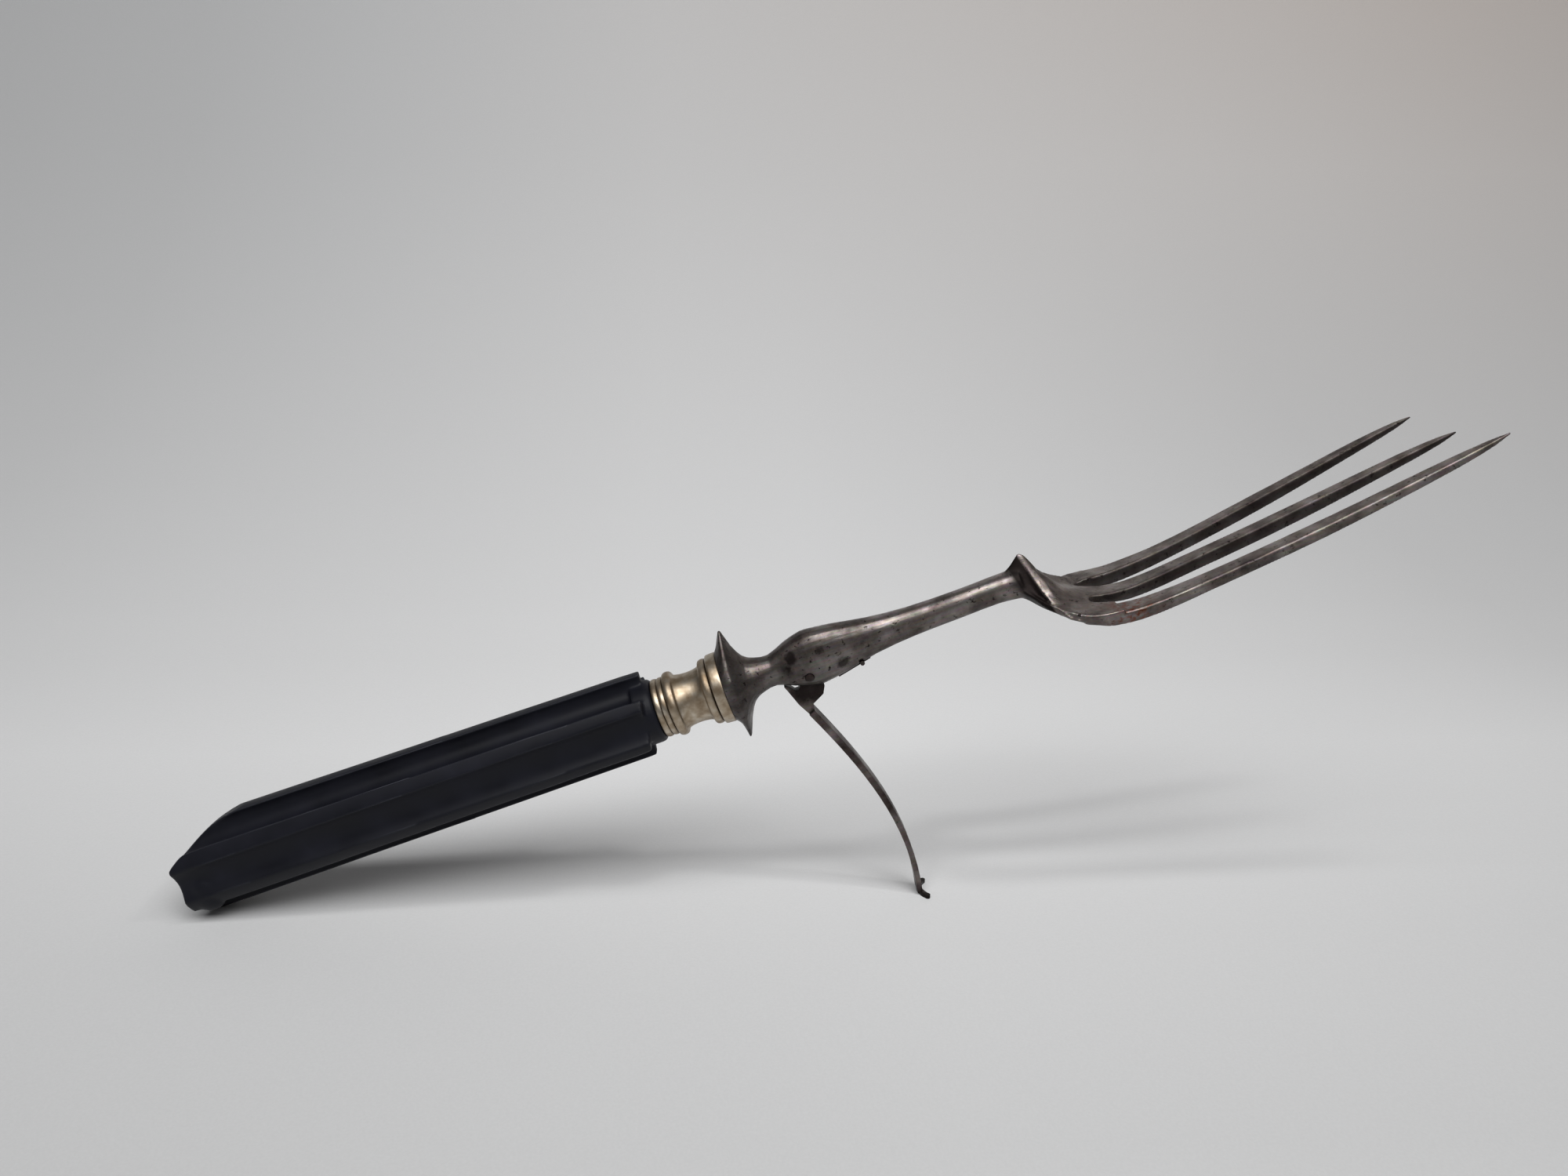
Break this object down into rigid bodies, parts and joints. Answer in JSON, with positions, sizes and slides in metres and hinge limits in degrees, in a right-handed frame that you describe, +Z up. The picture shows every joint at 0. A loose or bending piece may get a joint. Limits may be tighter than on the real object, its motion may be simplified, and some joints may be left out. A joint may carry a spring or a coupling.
{
  "type": "carving fork",
  "caption": "Carving fork with long curved tines, a forged bolster, a turned metal ferrule and a dark ribbed grip, propped on a slim folding guard hinged under the shank.",
  "frame": {"origin": "middle of the part's length and width at table level, as it rests on its butt and on the foot of its unfolded guard", "axes": "+X along the table from the butt towards the tine tips, +Y across the tines away from the viewer, +Z up"},
  "size_m": [0.268, 0.0326, 0.1065],
  "materials": {
    "handle_ebonite": "satin near-black hard rubber, worn on the arrises",
    "ferrule_metal": "turned nickel silver, tarnished in the grooves",
    "fork_steel": "forged steel with a dark brown-grey patina",
    "cutlers_resin": "poured brown resin",
    "guard_steel": "forged strip steel with a dull patina",
    "pin_steel": "filed flush, dark",
    "spring_steel": "tempered leaf, dark"
  },
  "bodies": {
    "fork_body": {"handle": "handle_ebonite", "ferrule": "ferrule_metal", "fork": "fork_steel", "tang_resin": "cutlers_resin", "pivot_pin": "pin_steel", "guard_spring": "spring_steel", "spring_pin": "pin_steel"},
    "guard_body": {"guard": "guard_steel"}
  },
  "joints": [
    {"name": "guard_fold", "type": "hinge", "parent": "fork_body", "child": "guard_body", "pos_m": [-0.00108, 0, 0.0525], "axis": [0, -1, 0], "range_deg": [0, 65]}
  ]
}
